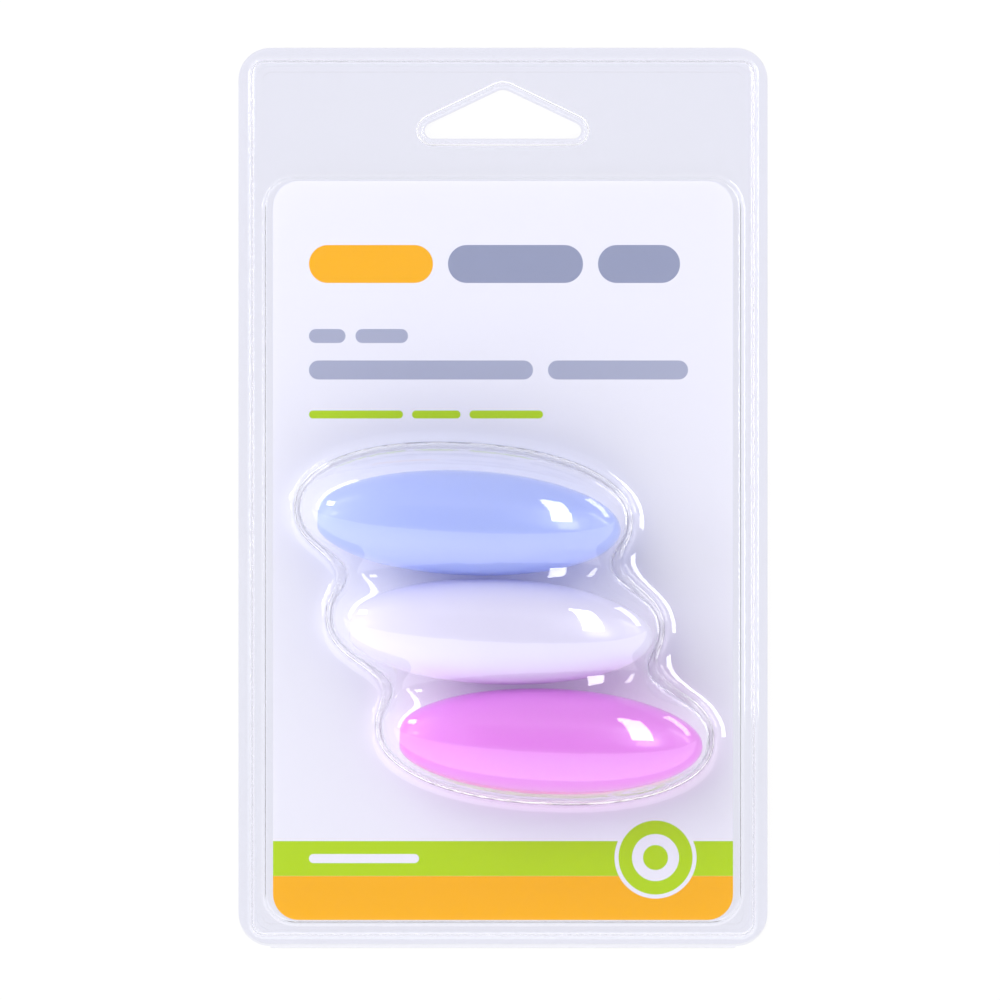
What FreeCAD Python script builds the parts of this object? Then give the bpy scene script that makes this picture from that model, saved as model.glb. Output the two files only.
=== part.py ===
import FreeCAD
import Part

import math
import os
import re

import Sketcher

# Three toothbrush covers in a clear folding pack.
# The pack lies on its back: +X to the right, +Y towards the hang hole, +Z out of the front.
# The origin is on the table, under the middle of the pack. All lengths are millimetres.

# Driving sizes: name, value, what it is.
SIZES = [
    ("pack_width", 106.0, "flange to flange"),
    ("pack_height", 180.4, "fold to top edge"),
    ("pack_corner", 6.4, "outer corner radius"),
    ("gauge", 0.4, "thickness of the clear sheet"),
    ("flange_width", 2.5, "flat edge outside the step"),
    ("flange_gap", 0.05, "between the two flanges"),
    ("step_corner", 2.8, "corner radius of the step"),
    ("step_draft", 0.5, "lean of the step's wall"),
    ("plateau_top", 2.7, "front plateau above the table"),
    ("fold_radius", 0.4, "rolled edge at the bottom"),
    ("fold_play", 0.1, "front flange clear of the roll"),
    ("card_width", 92.0, "insert card"),
    ("card_corner", 5.2, "insert card"),
    ("card_gauge", 0.5, "insert card"),
    ("card_foot", 5.8, "pack's bottom edge to the card"),
    ("header", 26.8, "card to the pack's top edge"),
    ("card_play", 0.05, "under the card"),
    ("window_side", 2.25, "window past the card, left and right"),
    ("window_end", 0.85, "window past the card, top and bottom"),
    ("window_rise", 0.9, "window above the plateau"),
    ("window_lean", 0.4, "lean of the window's wall"),
    ("boss_top", 2.0, "back shell's platform above the table"),
    ("boss_inset", 2.0, "platform inside the card's edge"),
    ("boss_draft", 0.4, "lean of the platform's wall"),
    ("bead_clear", 0.3, "closing bead to the front's step"),
    ("bead_width", 1.2, "closing bead"),
    ("bead_height", 1.2, "closing bead above the sheet"),
    ("hang_width", 31.4, "hang hole"),
    ("hang_height", 9.8, "hang hole"),
    ("hang_corner", 1.6, "hang hole's end radius"),
    ("hang_apex", 2.8, "hang hole's top radius"),
    ("hang_drop", 18.2, "pack's top edge to the hang hole's straight edge"),
    ("hang_land", 0.35, "flat ring round the hang hole"),
    ("hang_rim", 1.1, "hang hole to the top of its pressed rim"),
    ("cover_length", 60.0, "nose to blunt end"),
    ("cover_width", 20.8, "across the middle"),
    ("cover_wall", 1.2, "wall of a cover"),
    ("cover_gap", 0.5, "between neighbouring covers"),
    ("parting_gap", 0.06, "between a cover's two halves"),
    ("nose_cut", 1.1, "flat cut from the oval's tip"),
    ("neck_hole", 4.6, "hole for the brush's neck"),
    ("end_wall", 5.05, "cavity to the oval's tips"),
    ("hinge_inset", 2.2, "pin's centre from the blunt end"),
    ("barrel", 2.2, "hinge barrel's diameter"),
    ("barrel_length", 4.8, "hinge barrel"),
    ("knuckle", 1.8, "middle knuckle's width"),
    ("knuckle_gap", 0.15, "round the middle knuckle"),
    ("pin", 1.0, "hinge pin's diameter"),
    ("pin_fit", 0.05, "radial play on the pin"),
    ("peg", 1.0, "snap peg's diameter"),
    ("peg_length", 1.0, "snap peg"),
    ("peg_fit", 0.1, "radial play on the pegs"),
    ("peg_back", 3.6, "pegs behind the oval's tip"),
    ("peg_spread", 7.0, "peg to peg"),
    ("vent", 1.6, "vent holes' diameter"),
    ("vent_pitch", 12.0, "vent to vent"),
    ("rest_gap", 0.15, "covers above the card"),
    ("clear_shift", 1.0, "middle cover left of the pack's middle"),
    ("clear_rise", 57.9, "middle cover above the card's foot"),
    ("blue_step", 6.3, "blue cover left of the middle one"),
    ("pink_step", 9.9, "pink cover right of the middle one"),
    ("blue_tilt", 2.8, "degrees clockwise"),
    ("clear_tilt", 2.2, "degrees clockwise"),
    ("pink_tilt", 2.0, "degrees clockwise"),
    ("lobe_tilt", 1.8, "degrees clockwise"),
    ("lobe_side", 2.6, "bubble past a cover's side"),
    ("lobe_end", 2.1, "bubble past a cover's end"),
    ("lobe_round", 9.0, "end radius of a lobe"),
    ("lobe_draft", 0.8, "lean of the bubble's wall"),
    ("flare", 1.2, "bubble's foot"),
    ("flare_rise", 1.0, "bubble's foot"),
    ("settle_x", 0.9, "covers lie right of the lobes' middles"),
    ("settle_y", 1.2, "covers lie below the lobes' middles"),
]
NAMES = {name for name, value, note in SIZES}

os.makedirs("parts", exist_ok=True)
doc = FreeCAD.newDocument("toothbrush_covers")
sheet = doc.addObject("Spreadsheet::Sheet", "sizes")
for row, (name, value, note) in enumerate(SIZES, start=1):
    sheet.set("A%d" % row, name)
    sheet.set("B%d" % row, str(value))
    sheet.set("C%d" % row, note)
    sheet.setAlias("B%d" % row, name)
doc.recompute()


def formula(text):
    """Writes a formula in the sheet's names as FreeCAD reads it."""
    return re.sub(r"[a-z_]+", lambda word: ("sizes." if word.group() in NAMES else "") + word.group(), text)


def number(text):
    return float(sheet.evalExpression(formula(text)))


def bind(thing, path, text):
    thing.setExpression(path, formula(text))


# Places and levels, worked out from the sizes above.
FRONT_FLANGE = "(gauge + flange_gap)"
FOLD_Y = "(fold_radius - pack_height / 2)"
CARD_HEIGHT = "(pack_height - card_foot - header)"
CARD_Y = "((card_foot - header) / 2)"
HANG_Y = "(pack_height / 2 - hang_drop + hang_corner)"
WINDOW_TOP = "(plateau_top + window_rise)"
CARD_TOP = "(boss_top + card_play + card_gauge)"
AXIS_Z = "(%s + rest_gap + cover_width / 2)" % CARD_TOP
OVAL = "((cover_length + nose_cut) / 2)"
CAVITY = "(%s - end_wall)" % OVAL
HINGE_X = "(%s - hinge_inset)" % OVAL
BARREL_ROOM = "(barrel / 2 + knuckle_gap)"
CLEAR_Y = "(card_foot + clear_rise - pack_height / 2)"
COVERS = {
    "blue": ("(0 - clear_shift - blue_step)",
             "(%s + (cover_width + cover_gap + blue_step * sin(clear_tilt)) / cos(clear_tilt))" % CLEAR_Y,
             "blue_tilt"),
    "clear": ("(0 - clear_shift)", CLEAR_Y, "clear_tilt"),
    "pink": ("(pink_step - clear_shift)",
             "(%s - (cover_width + cover_gap + pink_step * sin(clear_tilt)) / cos(clear_tilt))" % CLEAR_Y,
             "pink_tilt"),
}


def vector(x, y, z=0.0):
    return FreeCAD.Vector(x, y, z)


def new_body(label):
    body = doc.addObject("PartDesign::Body", label)
    body.Label = label
    return body


def new_sketch(body, name, role, x="0", y="0", lift="0", turn="0"):
    """Adds a sketch on one of the body's own planes, moved and turned in that plane."""
    sketch = body.newObject("Sketcher::SketchObject", body.Name + "_" + name)
    planes = [feature for feature in body.Origin.OriginFeatures if feature.Role == role]
    sketch.AttachmentSupport = [(planes[0], "")]
    sketch.MapMode = "FlatFace"
    sketch.AttachmentOffset = FreeCAD.Placement(
        vector(number(x), number(y), number(lift)), FreeCAD.Rotation(vector(0, 0, 1), number(turn)))
    bind(sketch, ".AttachmentOffset.Base.x", x)
    bind(sketch, ".AttachmentOffset.Base.y", y)
    bind(sketch, ".AttachmentOffset.Base.z", lift)
    if turn != "0":
        bind(sketch, ".AttachmentOffset.Rotation.Angle", turn)
    return sketch


def limit(sketch, label, constraint, text):
    """Adds a named dimension and ties it to the sheet."""
    index = sketch.addConstraint(constraint)
    sketch.renameConstraint(index, label)
    bind(sketch, "Constraints." + label, text)


def rounded_rectangle(sketch, width, height, radius, name="plate"):
    """A rectangle round the sketch's origin with four round corners."""
    half_width, half_height, corner = number(width) / 2, number(height) / 2, number(radius)
    first = sketch.GeometryCount
    axis = vector(0, 0, 1)
    inner_x, inner_y = half_width - corner, half_height - corner
    centres = [vector(inner_x, inner_y), vector(-inner_x, inner_y),
               vector(-inner_x, -inner_y), vector(inner_x, -inner_y)]
    for turn, centre in enumerate(centres):
        start = turn * math.pi / 2
        arc = Part.ArcOfCircle(Part.Circle(centre, axis, corner), start, start + math.pi / 2)
        sketch.addGeometry(arc, False)
    for turn in range(4):
        here = sketch.Geometry[first + turn]
        there = sketch.Geometry[first + (turn + 1) % 4]
        sketch.addGeometry(Part.LineSegment(here.EndPoint, there.StartPoint), False)
    for turn in range(4):
        arc, line, following = first + turn, first + 4 + turn, first + (turn + 1) % 4
        sketch.addConstraint(Sketcher.Constraint("Tangent", arc, 2, line, 1))
        sketch.addConstraint(Sketcher.Constraint("Tangent", line, 2, following, 1))
    for turn in range(1, 4):
        sketch.addConstraint(Sketcher.Constraint("Equal", first, first + turn))
    sketch.addConstraint(Sketcher.Constraint("Horizontal", first + 4))
    sketch.addConstraint(Sketcher.Constraint("Vertical", first + 5))
    sketch.addConstraint(Sketcher.Constraint("Symmetric", first, 3, first + 2, 3, -1, 1))
    limit(sketch, name + "_radius", Sketcher.Constraint("Radius", first, corner), radius)
    limit(sketch, name + "_wide", Sketcher.Constraint("DistanceX", first + 1, 3, first, 3, 2 * inner_x),
          "(%s) - 2 * (%s)" % (width, radius))
    limit(sketch, name + "_high", Sketcher.Constraint("DistanceY", first + 2, 3, first + 1, 3, 2 * inner_y),
          "(%s) - 2 * (%s)" % (height, radius))


def hang_outline(sketch, margin):
    """The hang hole: a low triangle with its point up and three round corners."""
    corner, apex = number("hang_corner + " + margin), number("hang_apex + " + margin)
    span, rise = number("hang_width / 2 - hang_corner"), number("hang_height - hang_apex - hang_corner")
    reach = math.hypot(span, rise)
    slope = math.atan2(rise, span) + math.asin((apex - corner) / reach)
    across, up = math.sin(slope), math.cos(slope)
    axis = vector(0, 0, 1)
    right, left, top = vector(span, 0), vector(-span, 0), vector(0, rise)
    quarter = math.pi / 2
    sketch.addGeometry([
        Part.LineSegment(left + vector(0, -corner), right + vector(0, -corner)),
        Part.ArcOfCircle(Part.Circle(right, axis, corner), -quarter, quarter - slope),
        Part.LineSegment(right + vector(across, up) * corner, top + vector(across, up) * apex),
        Part.ArcOfCircle(Part.Circle(top, axis, apex), quarter - slope, quarter + slope),
        Part.LineSegment(top + vector(-across, up) * apex, left + vector(-across, up) * corner),
        Part.ArcOfCircle(Part.Circle(left, axis, corner), quarter + slope, 3 * quarter),
    ], False)
    for piece in range(6):
        sketch.addConstraint(Sketcher.Constraint("Tangent", piece, 2, (piece + 1) % 6, 1))
    sketch.addConstraint(Sketcher.Constraint("PointOnObject", 1, 3, -1))
    sketch.addConstraint(Sketcher.Constraint("PointOnObject", 3, 3, -2))
    sketch.addConstraint(Sketcher.Constraint("Equal", 1, 5))
    limit(sketch, "corner", Sketcher.Constraint("Radius", 1, corner), "hang_corner + " + margin)
    limit(sketch, "apex", Sketcher.Constraint("Radius", 3, apex), "hang_apex + " + margin)
    limit(sketch, "reach", Sketcher.Constraint("DistanceX", -1, 1, 1, 3, span), "hang_width / 2 - hang_corner")
    limit(sketch, "rise", Sketcher.Constraint("DistanceY", -1, 1, 3, 3, rise),
          "hang_height - hang_apex - hang_corner")
    sketch.addConstraint(Sketcher.Constraint("Symmetric", 1, 3, 5, 3, -2))


def circle(sketch, diameter, x=0.0, y=0.0, name="round", x_text=None, y_text=None):
    index = sketch.addGeometry(Part.Circle(vector(x, y), vector(0, 0, 1), number(diameter) / 2), False)
    limit(sketch, name, Sketcher.Constraint("Diameter", index, number(diameter)), diameter)
    if x_text is None:
        sketch.addConstraint(Sketcher.Constraint("PointOnObject", index, 3, -2))
    else:
        limit(sketch, name + "_x", Sketcher.Constraint("DistanceX", -1, 1, index, 3, x), x_text)
    if y_text is None:
        sketch.addConstraint(Sketcher.Constraint("PointOnObject", index, 3, -1))
    else:
        limit(sketch, name + "_y", Sketcher.Constraint("DistanceY", -1, 1, index, 3, y), y_text)


def box_outline(sketch, left, right, low, high):
    """A plain rectangle between four formulas, all measured from the sketch's origin."""
    x0, x1, y0, y1 = number(left), number(right), number(low), number(high)
    corners = [vector(x0, y0), vector(x1, y0), vector(x1, y1), vector(x0, y1)]
    for turn in range(4):
        sketch.addGeometry(Part.LineSegment(corners[turn], corners[(turn + 1) % 4]), False)
    for turn in range(4):
        sketch.addConstraint(Sketcher.Constraint("Coincident", turn, 2, (turn + 1) % 4, 1))
        sketch.addConstraint(Sketcher.Constraint("Horizontal" if turn % 2 == 0 else "Vertical", turn))
    limit(sketch, "left", Sketcher.Constraint("DistanceX", -1, 1, 0, 1, x0), left)
    limit(sketch, "right", Sketcher.Constraint("DistanceX", -1, 1, 0, 2, x1), right)
    limit(sketch, "low", Sketcher.Constraint("DistanceY", -1, 1, 0, 1, y0), low)
    limit(sketch, "high", Sketcher.Constraint("DistanceY", -1, 1, 2, 1, y1), high)


def oval(sketch, half_length, half_width, whole):
    """An ellipse round the sketch's origin, or its upper half closed along the long axis."""
    major, minor = number(half_length), number(half_width)
    shape = Part.Ellipse(vector(0, 0), major, minor)
    if whole:
        sketch.addGeometry(shape, False)
        first_axis = 1
    else:
        sketch.addGeometry(Part.ArcOfEllipse(shape, 0, math.pi), False)
        sketch.addGeometry(Part.LineSegment(vector(-major, 0), vector(major, 0)), False)
        first_axis = 2
    sketch.exposeInternalGeometry(0)
    sketch.addConstraint(Sketcher.Constraint("Coincident", 0, 3, -1, 1))
    sketch.addConstraint(Sketcher.Constraint("PointOnObject", first_axis, 1, -1))
    if not whole:
        sketch.addConstraint(Sketcher.Constraint("Coincident", 0, 2, 1, 1))
        sketch.addConstraint(Sketcher.Constraint("Coincident", 0, 1, 1, 2))
        sketch.addConstraint(Sketcher.Constraint("PointOnObject", 1, 1, -1))
    limit(sketch, "long", Sketcher.Constraint("Distance", first_axis, 2 * major), "2 * (%s)" % half_length)
    limit(sketch, "wide", Sketcher.Constraint("Distance", first_axis + 1, 2 * minor), "2 * (%s)" % half_width)


def arched_oval(sketch, half_length, half_width, end_radius, whole):
    """An oval of round arcs, small at the ends and large along the sides, or its upper half."""
    long, wide, small = number(half_length), number(half_width), number(end_radius)
    reach = long - small
    large = (reach ** 2 + wide ** 2 - small ** 2) / (2 * (wide - small))
    drop = large - wide
    turn = math.atan2(drop, reach)
    axis = vector(0, 0, 1)
    right = Part.Circle(vector(reach, 0), axis, small)
    left = Part.Circle(vector(-reach, 0), axis, small)
    above = Part.Circle(vector(0, -drop), axis, large)
    below = Part.Circle(vector(0, drop), axis, large)
    if whole:
        sketch.addGeometry([Part.ArcOfCircle(right, -turn, turn),
                            Part.ArcOfCircle(above, turn, math.pi - turn),
                            Part.ArcOfCircle(left, math.pi - turn, math.pi + turn),
                            Part.ArcOfCircle(below, math.pi + turn, 2 * math.pi - turn)], False)
    else:
        sketch.addGeometry([Part.ArcOfCircle(right, 0, turn),
                            Part.ArcOfCircle(above, turn, math.pi - turn),
                            Part.ArcOfCircle(left, math.pi - turn, math.pi),
                            Part.LineSegment(vector(-long, 0), vector(long, 0))], False)
    sketch.addGeometry(Part.Point(vector(0, wide)), True)
    sketch.addConstraint(Sketcher.Constraint("Tangent", 0, 2, 1, 1))
    sketch.addConstraint(Sketcher.Constraint("Tangent", 1, 2, 2, 1))
    sketch.addConstraint(Sketcher.Constraint("PointOnObject", 0, 3, -1))
    sketch.addConstraint(Sketcher.Constraint("PointOnObject", 1, 3, -2))
    sketch.addConstraint(Sketcher.Constraint("PointOnObject", 2, 3, -1))
    sketch.addConstraint(Sketcher.Constraint("Equal", 0, 2))
    sketch.addConstraint(Sketcher.Constraint("PointOnObject", 4, 1, 1))
    sketch.addConstraint(Sketcher.Constraint("PointOnObject", 4, 1, -2))
    if whole:
        sketch.addConstraint(Sketcher.Constraint("Tangent", 2, 2, 3, 1))
        sketch.addConstraint(Sketcher.Constraint("Tangent", 3, 2, 0, 1))
        sketch.addConstraint(Sketcher.Constraint("Equal", 1, 3))
    else:
        sketch.addConstraint(Sketcher.Constraint("Coincident", 2, 2, 3, 1))
        sketch.addConstraint(Sketcher.Constraint("Coincident", 3, 2, 0, 1))
        sketch.addConstraint(Sketcher.Constraint("PointOnObject", 3, 1, -1))
        sketch.addConstraint(Sketcher.Constraint("PointOnObject", 3, 2, -1))
    limit(sketch, "end_radius", Sketcher.Constraint("Radius", 0, small), end_radius)
    limit(sketch, "reach", Sketcher.Constraint("DistanceX", -1, 1, 0, 3, reach),
          "%s - (%s)" % (half_length, end_radius))
    limit(sketch, "half_width", Sketcher.Constraint("DistanceY", -1, 1, 4, 1, wide), half_width)


def extrude(body, kind, sketch, length, reverse=False, both_ways=False):
    feature = body.newObject("PartDesign::" + kind, sketch.Name + "_" + kind.lower())
    feature.Profile = sketch
    feature.SideType = "Symmetric" if both_ways else "One side"
    feature.Reversed = reverse
    bind(feature, "Length", length)
    return feature


def revolve(body, kind, sketch, reverse=False):
    """Half a turn round the sketch's long axis, towards +Z unless reversed."""
    feature = body.newObject("PartDesign::" + kind, sketch.Name + "_" + kind.lower())
    feature.Profile = sketch
    feature.ReferenceAxis = (sketch, ["H_Axis"])
    feature.Angle = 180
    feature.Reversed = reverse
    return feature


def loft(body, kind, lowest, *others):
    feature = body.newObject("PartDesign::" + kind, lowest.Name + "_" + kind.lower())
    feature.Profile = lowest
    feature.Sections = list(others)
    feature.Ruled = True
    return feature


def step(body, kind, name, lower, upper, y="0"):
    """A rounded block that leans inwards; lower and upper are (width, height, radius, level)."""
    outlines = []
    for end, (width, height, radius, level) in (("foot", lower), ("head", upper)):
        outline = new_sketch(body, name + "_" + end, "XY_Plane", y=y, lift=level)
        rounded_rectangle(outline, width, height, radius)
        outlines.append(outline)
    return loft(body, kind, outlines[0], outlines[1])


def plate(body, name, width, height, radius, level, thickness, y="0"):
    outline = new_sketch(body, name, "XY_Plane", y=y, lift=level)
    rounded_rectangle(outline, width, height, radius)
    return extrude(body, "Pad", outline, thickness)


def lobe_outline(body, name, place, growth, level, whole):
    """One lobe's outline at a level, grown sideways from the inner face of the bubble's widest line."""
    x, y, tilt = place
    outline = new_sketch(body, name, "XY_Plane", x, y, level, "0 - " + tilt)
    arched_oval(outline, "cover_length / 2 + lobe_end + " + growth,
                "cover_width / 2 + lobe_side + " + growth, "lobe_round + " + growth, whole)
    return outline


def lobes(body, kind, spin, layer, skin, drop):
    """The bubble's three lobes, solid; skin is the wall that they add, drop lowers their feet."""
    foot = "%s - %s" % (WINDOW_TOP, drop)
    for colour, (x, y, tilt) in COVERS.items():
        place = (x + " - settle_x", y + " + settle_y", "lobe_tilt")
        name = colour + "_" + layer
        rings = [lobe_outline(body, name + "_foot", place, skin + " + lobe_draft + flare", foot, True),
                 lobe_outline(body, name + "_wall", place, skin + " + lobe_draft", foot + " + flare_rise", True),
                 lobe_outline(body, name + "_widest", place, skin, AXIS_Z, True)]
        loft(body, kind, *rings)
        revolve(body, spin, lobe_outline(body, name + "_dome", place, skin, AXIS_Z, False))


def hang_hole(body):
    outline = new_sketch(body, "hang_hole", "XY_Plane", y=HANG_Y)
    hang_outline(outline, "0")
    extrude(body, "Pocket", outline, "4 * (%s)" % WINDOW_TOP, both_ways=True)


def make_back_shell():
    """Flat sheet with a platform that lifts the card, a closing bead and the rolled fold."""
    body = new_body("back_shell")
    height = "pack_height - fold_radius"
    plate(body, "sheet", "pack_width", height, "pack_corner", "0", "gauge", y="fold_radius / 2")
    inset = "flange_width + gauge + step_draft + bead_clear"
    bead = new_sketch(body, "bead", "XY_Plane")
    rounded_rectangle(bead, "pack_width - 2 * (%s)" % inset, "pack_height - 2 * (%s)" % inset,
                      "step_corner", "outer")
    rounded_rectangle(bead, "pack_width - 2 * (%s + bead_width)" % inset,
                      "pack_height - 2 * (%s + bead_width)" % inset, "step_corner - bead_width", "inner")
    extrude(body, "Pad", bead, "gauge + bead_height")
    roll = new_sketch(body, "roll", "YZ_Plane", x=FOLD_Y, y="fold_radius")
    circle(roll, "2 * fold_radius")
    extrude(body, "Pad", roll, "pack_width - 2 * pack_corner", both_ways=True)
    wide, high, corner = "card_width - 2 * boss_inset", CARD_HEIGHT + " - 2 * boss_inset", "card_corner"
    lean = " - 2 * boss_draft"
    step(body, "AdditiveLoft", "boss", (wide, high, corner, "0"),
         (wide + lean, high + lean, corner + " - boss_draft", "boss_top"), y=CARD_Y)
    skin = " - 2 * gauge"
    step(body, "SubtractiveLoft", "hollow", (wide + skin, high + skin, corner + " - gauge", "0"),
         (wide + lean + skin, high + lean + skin, corner + " - boss_draft - gauge", "boss_top - gauge"),
         y=CARD_Y)
    hang_hole(body)
    return body


def make_front_shell():
    """Plateau, window and three-lobed bubble, one sheet all over, with the pressed hang hole."""
    body = new_body("front_shell")
    bottom = "(%s + fold_radius + fold_play)" % FOLD_Y
    plate(body, "flange", "pack_width", "pack_height / 2 - %s" % bottom, "pack_corner",
          FRONT_FLANGE, "gauge", y="(pack_height / 2 + %s) / 2" % bottom)
    for kind, layer, spin, skin, drop in (("AdditiveLoft", "outer", "Revolution", "gauge", "0"),
                                          ("SubtractiveLoft", "inner", "Groove", "0", "gauge")):
        shrink = " - 2 * (%s)" % drop
        wide = "pack_width - 2 * flange_width" + shrink
        high = "pack_height - 2 * flange_width" + shrink
        corner = "step_corner - " + drop
        lean = " - 2 * step_draft"
        step(body, kind, layer + "_plateau", (wide, high, corner, FRONT_FLANGE),
             (wide + lean, high + lean, corner + " - step_draft", "plateau_top - " + drop))
        wide = "card_width + 2 * window_side" + shrink
        high = CARD_HEIGHT + " + 2 * window_end" + shrink
        corner = "card_corner + window_end - " + drop
        lean = " - 2 * window_lean"
        level = "plateau_top - 2 * " + drop if drop == "gauge" else "plateau_top - gauge"
        step(body, kind, layer + "_window", (wide, high, corner, level),
             (wide + lean, high + lean, corner + " - window_lean", "%s - %s" % (WINDOW_TOP, drop)),
             y=CARD_Y)
        lobes(body, kind, spin, layer, skin, drop)
    rims = {}
    for name, margin, level in (("funnel_foot", "gauge + hang_land", FRONT_FLANGE),
                                ("funnel_head", "gauge + hang_rim", "plateau_top - gauge / 2"),
                                ("pit_foot", "hang_land", FRONT_FLANGE + " + gauge"),
                                ("pit_head", "hang_rim", "plateau_top")):
        rims[name] = new_sketch(body, name, "XY_Plane", y=HANG_Y, lift=level)
        hang_outline(rims[name], margin)
    loft(body, "AdditiveLoft", rims["funnel_foot"], rims["funnel_head"])
    loft(body, "SubtractiveLoft", rims["pit_foot"], rims["pit_head"])
    hang_hole(body)
    return body


def make_card():
    body = new_body("insert_card")
    plate(body, "card", "card_width", CARD_HEIGHT, "card_corner", "boss_top + card_play", "card_gauge",
          y=CARD_Y)
    return body


def place_cover(body, place):
    """Sets a body that was made round a cover's own middle on its place in the pack."""
    x, y, tilt = place
    body.Placement = FreeCAD.Placement(vector(number(x), number(y), number(AXIS_Z)),
                                       FreeCAD.Rotation(vector(0, 0, 1), -number(tilt)))
    bind(body, ".Placement.Base.x", x)
    bind(body, ".Placement.Base.y", y)
    bind(body, ".Placement.Base.z", AXIS_Z)
    bind(body, ".Placement.Rotation.Angle", "0 - " + tilt)


def half_shell(body, front):
    """Half an egg with its cavity, its nose cut flat and bored for the brush's neck."""
    level = "parting_gap" if front else "0"
    outer = new_sketch(body, "outer", "XY_Plane", lift=level)
    oval(outer, OVAL, "cover_width / 2", False)
    revolve(body, "Revolution", outer, reverse=not front)
    nose = new_sketch(body, "nose", "XY_Plane")
    box_outline(nose, "0 - %s - 1" % OVAL, "nose_cut - %s" % OVAL, "0 - cover_width", "cover_width")
    extrude(body, "Pocket", nose, "2 * cover_width", both_ways=True)
    inner = new_sketch(body, "inner", "XY_Plane", lift=level)
    oval(inner, CAVITY, "cover_width / 2 - cover_wall", False)
    revolve(body, "Groove", inner, reverse=not front)
    neck = new_sketch(body, "neck", "YZ_Plane", lift="0 - %s + neck_hole / 2" % CAVITY)
    circle(neck, "neck_hole")
    extrude(body, "Pocket", neck, "cover_length / 2")


def make_cover_front(colour, place):
    """The half that opens: two knuckles under its blunt end turn on the pin, two pegs snap it shut."""
    body = new_body(colour + "_cover_front")
    half_shell(body, front=True)
    barrel = new_sketch(body, "barrel", "XZ_Plane", x=HINGE_X)
    circle(barrel, "barrel")
    extrude(body, "Pad", barrel, "barrel_length", both_ways=True)
    slot = new_sketch(body, "slot", "XZ_Plane", x=HINGE_X)
    box_outline(slot, "0 - " + BARREL_ROOM, BARREL_ROOM, "0 - barrel", BARREL_ROOM)
    extrude(body, "Pocket", slot, "knuckle + 2 * knuckle_gap", both_ways=True)
    hole = new_sketch(body, "hole", "XZ_Plane", x=HINGE_X)
    circle(hole, "pin + 2 * pin_fit")
    extrude(body, "Pocket", hole, "2 * barrel_length", both_ways=True)
    for side, sign in (("left", "0 - "), ("right", "")):
        peg = new_sketch(body, "peg_" + side, "XY_Plane", x="peg_back - %s" % OVAL,
                         y=sign + "peg_spread / 2", lift="0 - peg_length")
        circle(peg, "peg")
        extrude(body, "Pad", peg, "peg_length + peg")
    place_cover(body, place)
    return body


def make_cover_back(colour, place):
    """The half that lies on the card: its middle knuckle holds the pin, and vents let it dry."""
    body = new_body(colour + "_cover_back")
    half_shell(body, front=False)
    relief = new_sketch(body, "relief", "XY_Plane")
    box_outline(relief, "%s - %s" % (HINGE_X, BARREL_ROOM), OVAL + " + 1", "0 - cover_width", "cover_width")
    extrude(body, "Pocket", relief, "2 * cover_width", both_ways=True)
    eye = new_sketch(body, "eye", "XZ_Plane", x=HINGE_X)
    circle(eye, "barrel")
    extrude(body, "Pad", eye, "knuckle", both_ways=True)
    web = new_sketch(body, "web", "XZ_Plane", x=HINGE_X)
    box_outline(web, "0 - barrel", "0", "parting_gap - barrel / 2", "0 - parting_gap")
    extrude(body, "Pad", web, "knuckle", both_ways=True)
    hole = new_sketch(body, "hole", "XZ_Plane", x=HINGE_X)
    circle(hole, "pin + pin_fit")
    extrude(body, "Pocket", hole, "2 * barrel_length", both_ways=True)
    for side, sign in (("left", "0 - "), ("right", "")):
        socket = new_sketch(body, "socket_" + side, "XY_Plane", x="peg_back - %s" % OVAL,
                            y=sign + "peg_spread / 2")
        circle(socket, "peg + 2 * peg_fit")
        extrude(body, "Pocket", socket, "peg_length + 2 * peg_fit")
    vents = new_sketch(body, "vents", "XY_Plane", lift="cover_wall - cover_width / 2 + vent")
    pitch = number("vent_pitch")
    circle(vents, "vent", name="middle")
    circle(vents, "vent", x=pitch, name="after", x_text="vent_pitch")
    circle(vents, "vent", x=-pitch, name="before", x_text="0 - vent_pitch")
    extrude(body, "Pocket", vents, "cover_width")
    place_cover(body, place)
    return body


def make_hinge_pin(colour, place):
    body = new_body(colour + "_hinge_pin")
    round_bar = new_sketch(body, "bar", "XZ_Plane", x=HINGE_X)
    circle(round_bar, "pin")
    extrude(body, "Pad", round_bar, "barrel_length", both_ways=True)
    place_cover(body, place)
    return body


bodies = [make_back_shell(), make_front_shell(), make_card()]
for shade, spot in COVERS.items():
    bodies += [make_cover_back(shade, spot), make_cover_front(shade, spot), make_hinge_pin(shade, spot)]
doc.recompute()

for thing in doc.Objects:
    if "Invalid" in thing.State or "Error" in thing.State:
        raise RuntimeError("%s is %s" % (thing.Label, thing.State))
for body in bodies:
    if body.Shape.isNull() or not body.Shape.isValid() or len(body.Shape.Solids) != 1:
        raise RuntimeError("%s has no single sound solid" % body.Label)
for body in bodies:
    box = body.Shape.BoundBox
    print("%-18s %9.2f mm3  x %7.2f %7.2f  y %7.2f %7.2f  z %6.2f %6.2f" % (
        body.Label, body.Shape.Volume, box.XMin, box.XMax, box.YMin, box.YMax, box.ZMin, box.ZMax))
    body.Shape.exportStep("parts/%s.step" % body.Label)
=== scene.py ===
# %% [markdown]
# # Three toothbrush covers in a clear folding pack
# The pack lies on its back. +X runs to the right, +Y runs to the hang hole and +Z comes out of
# the front. All lengths are metres. The frame holds the real pieces at their real size, so this
# lesson never moves them. It gives them their finish, and rebuilds the pressed front sheet and the
# cover halves, whose soft bends the solid model doesn't show.

# %% Load the frame
import math

import bmesh
import bpy
import numpy as np
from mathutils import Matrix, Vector
from mathutils.geometry import delaunay_2d_cdt


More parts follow.
